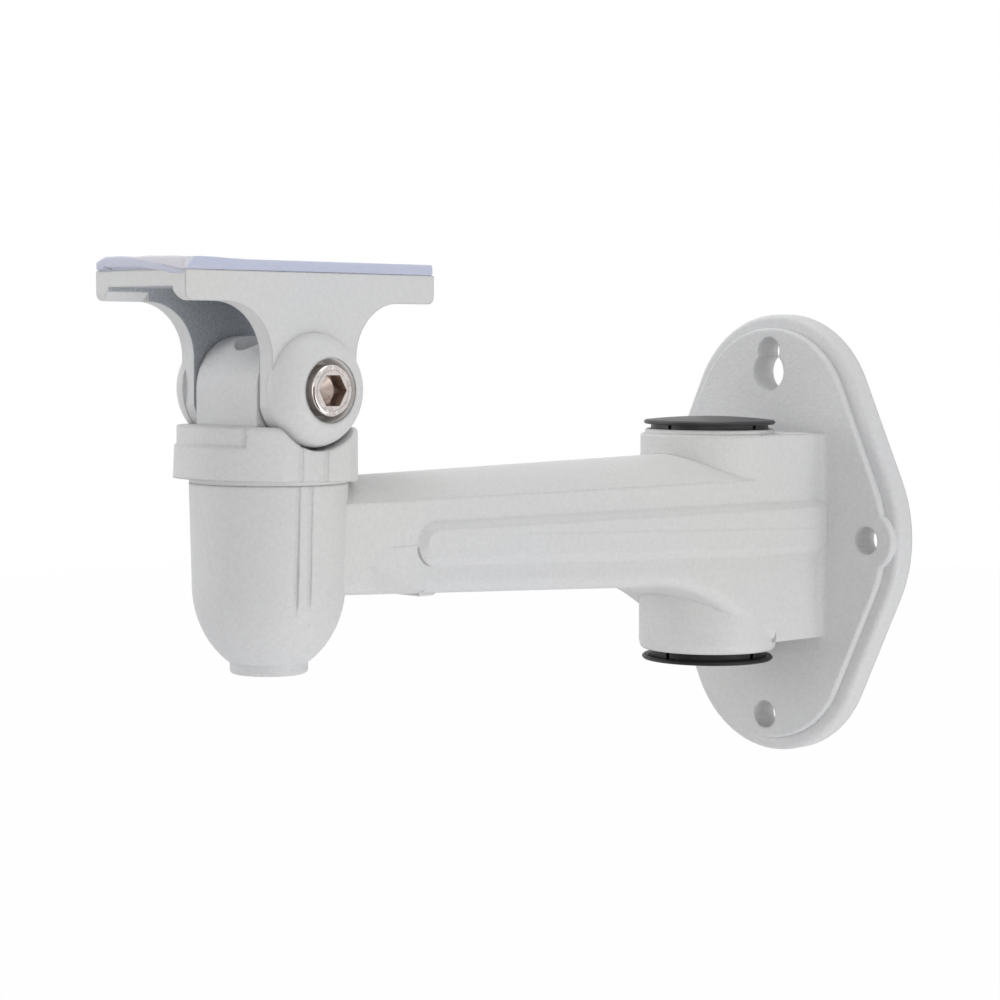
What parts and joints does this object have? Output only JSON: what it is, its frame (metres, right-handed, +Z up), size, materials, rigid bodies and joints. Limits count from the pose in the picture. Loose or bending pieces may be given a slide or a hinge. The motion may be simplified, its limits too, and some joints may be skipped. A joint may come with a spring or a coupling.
{
  "type": "security camera wall bracket",
  "caption": "Cast wall bracket for a security camera: cable-managed arm with a wall plate and a cup, swivel post and tilting camera table with a foam pad.",
  "frame": {"origin": "centre of the wall plate's back face, where the cable hole's axis meets the wall", "axes": "+Y into the wall, so the arm runs out along -Y; +Z up; +X to the right of someone who faces the wall, and along the tilt axis"},
  "size_m": [0.07, 0.1757, 0.1049],
  "materials": {
    "casting_paint": "off-white powder coat, satin, fine orange peel",
    "post_paint": "off-white powder coat over a filed casting",
    "bracket_paint": "off-white powder coat, satin, fine orange peel",
    "pad_foam": "pale lavender foam sheet, matt, worn edges",
    "upper_plug_plastic": "black moulded plastic, fine spark texture",
    "lower_plug_plastic": "black moulded plastic, fine spark texture",
    "pan_screw_steel": "zinc plated steel",
    "washer_steel": "zinc plated steel",
    "nylon": "natural nylon, satin",
    "tilt_screw_nickel": "nickel plated steel, slightly tarnished",
    "nut_steel": "zinc plated steel"
  },
  "bodies": {
    "base": {"arm_casting": "casting_paint", "pan_thrust_washer": "nylon"},
    "swivel": {"swivel_post": "post_paint"},
    "pan_fastener": {"pan_screw": "pan_screw_steel", "pan_spring_washer": "washer_steel", "pan_flat_washer": "washer_steel"},
    "table": {"tilt_bracket": "bracket_paint", "camera_pad": "pad_foam", "tilt_nut": "nut_steel", "tilt_side_washers": "nylon"},
    "tilt_fastener": {"tilt_screw": "tilt_screw_nickel"},
    "upper_cap": {"upper_plug": "upper_plug_plastic"},
    "lower_cap": {"lower_plug": "lower_plug_plastic"}
  },
  "joints": [
    {"name": "pan", "type": "hinge", "parent": "base", "child": "swivel", "pos_m": [0, -0.1471, 0], "axis": [0, 0, 1], "continuous": true},
    {"name": "pan_screw_turn", "type": "hinge", "parent": "swivel", "child": "pan_fastener", "pos_m": [0, -0.1471, 0], "axis": [0, 0, -1], "range_deg": [0, 180]},
    {"name": "tilt", "type": "hinge", "parent": "swivel", "child": "table", "pos_m": [0, -0.1471, 0.0334], "axis": [1, 0, 0], "range_deg": [-55, 55]},
    {"name": "tilt_screw_turn", "type": "hinge", "parent": "table", "child": "tilt_fastener", "pos_m": [0, -0.1471, 0.0334], "axis": [1, 0, 0], "range_deg": [0, 180]},
    {"name": "upper_plug_pull", "type": "slide", "parent": "base", "child": "upper_cap", "axis": [0, 0, 1], "range_m": [-0.0009, 0.01]},
    {"name": "lower_plug_pull", "type": "slide", "parent": "base", "child": "lower_cap", "axis": [0, 0, -1], "range_m": [-0.0014, 0.01]}
  ]
}
